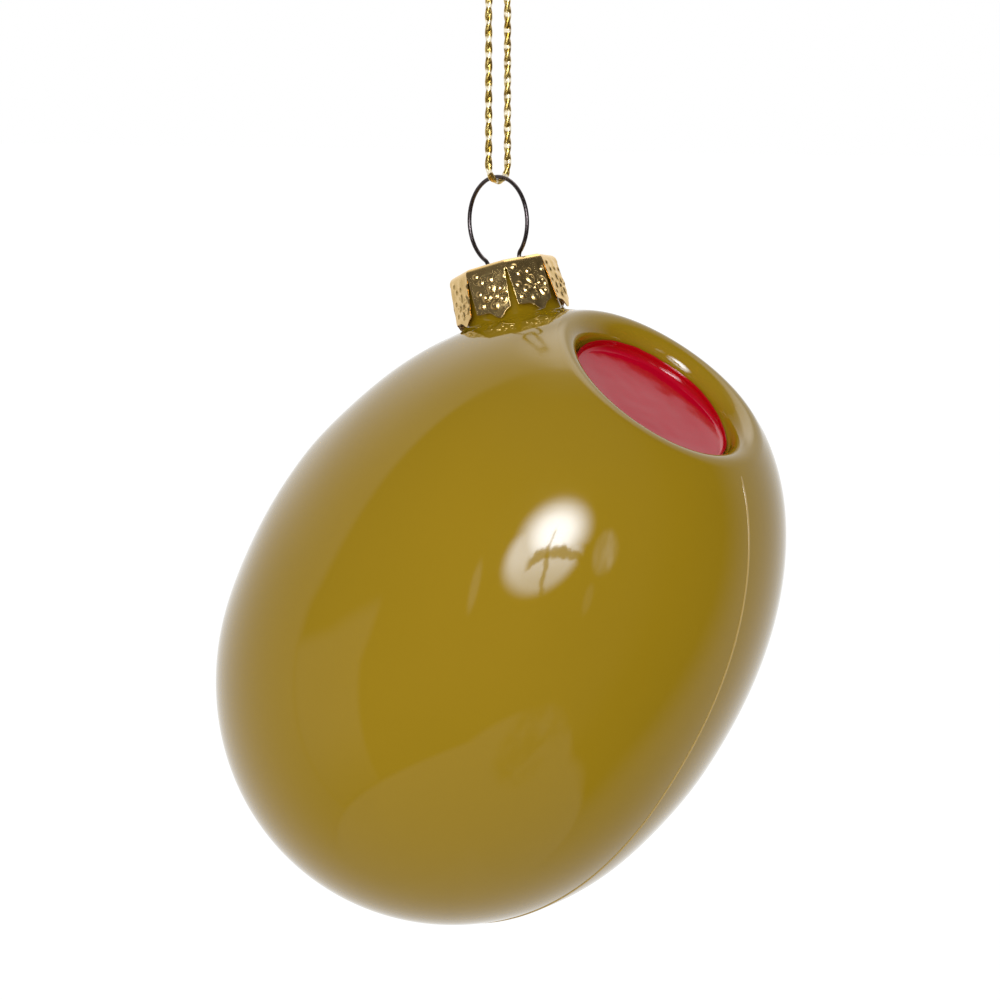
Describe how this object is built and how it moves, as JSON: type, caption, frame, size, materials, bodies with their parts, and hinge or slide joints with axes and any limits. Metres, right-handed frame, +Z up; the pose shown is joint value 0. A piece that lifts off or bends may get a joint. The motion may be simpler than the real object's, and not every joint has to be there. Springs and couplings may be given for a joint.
{
  "type": "olive-shaped glass bauble",
  "caption": "Blown glass bauble shaped as a stuffed olive with a red pimento end, held by a stamped crown cap, a spring wire loop and a gold cord to hang it from a branch.",
  "frame": {"origin": "middle of the knot that ties the cord's ends, from which the bauble hangs", "axes": "+Z up, +X from the neck towards the pimento end in the plane of the mould seam, +Y across that plane"},
  "size_m": [0.0717, 0.0612, 0.1258],
  "materials": {
    "olive_lacquer": "opaque gloss lacquer on blown glass",
    "red_enamel": "gloss",
    "gold_sheet": "bright stamped sheet",
    "spring_wire": "dark drawn wire",
    "gold_cord": "metallic braid"
  },
  "bodies": {
    "knot": {"cord_knot": "gold_cord"},
    "cord": {"cord_loop": "gold_cord"},
    "hanger": {"hanger_wire": "spring_wire"},
    "cap": {"cap_crown": "gold_sheet"},
    "glass": {"glass_body": "olive_lacquer", "pimento_enamel": "red_enamel"}
  },
  "joints": [
    {"name": "cord_swing", "type": "hinge", "parent": "knot", "child": "cord", "pos_m": [0, 0, 0], "axis": [0, 1, 0], "range_deg": [-45, 45]},
    {"name": "ring_rock", "type": "hinge", "parent": "cord", "child": "hanger", "pos_m": [0, 0, -0.0267], "axis": [0.972, -0.2348, 0], "range_deg": [-60, 60]},
    {"name": "hanger_pivot", "type": "hinge", "parent": "hanger", "child": "cap", "pos_m": [0.00058, -0.00014, -0.0372], "axis": [0.9313, -0.225, 0.2865], "range_deg": [-13, 5.5]},
    {"name": "cap_pull", "type": "slide", "parent": "cap", "child": "glass", "axis": [0.294, 0, -0.9558], "range_m": [0, 0.014]}
  ]
}
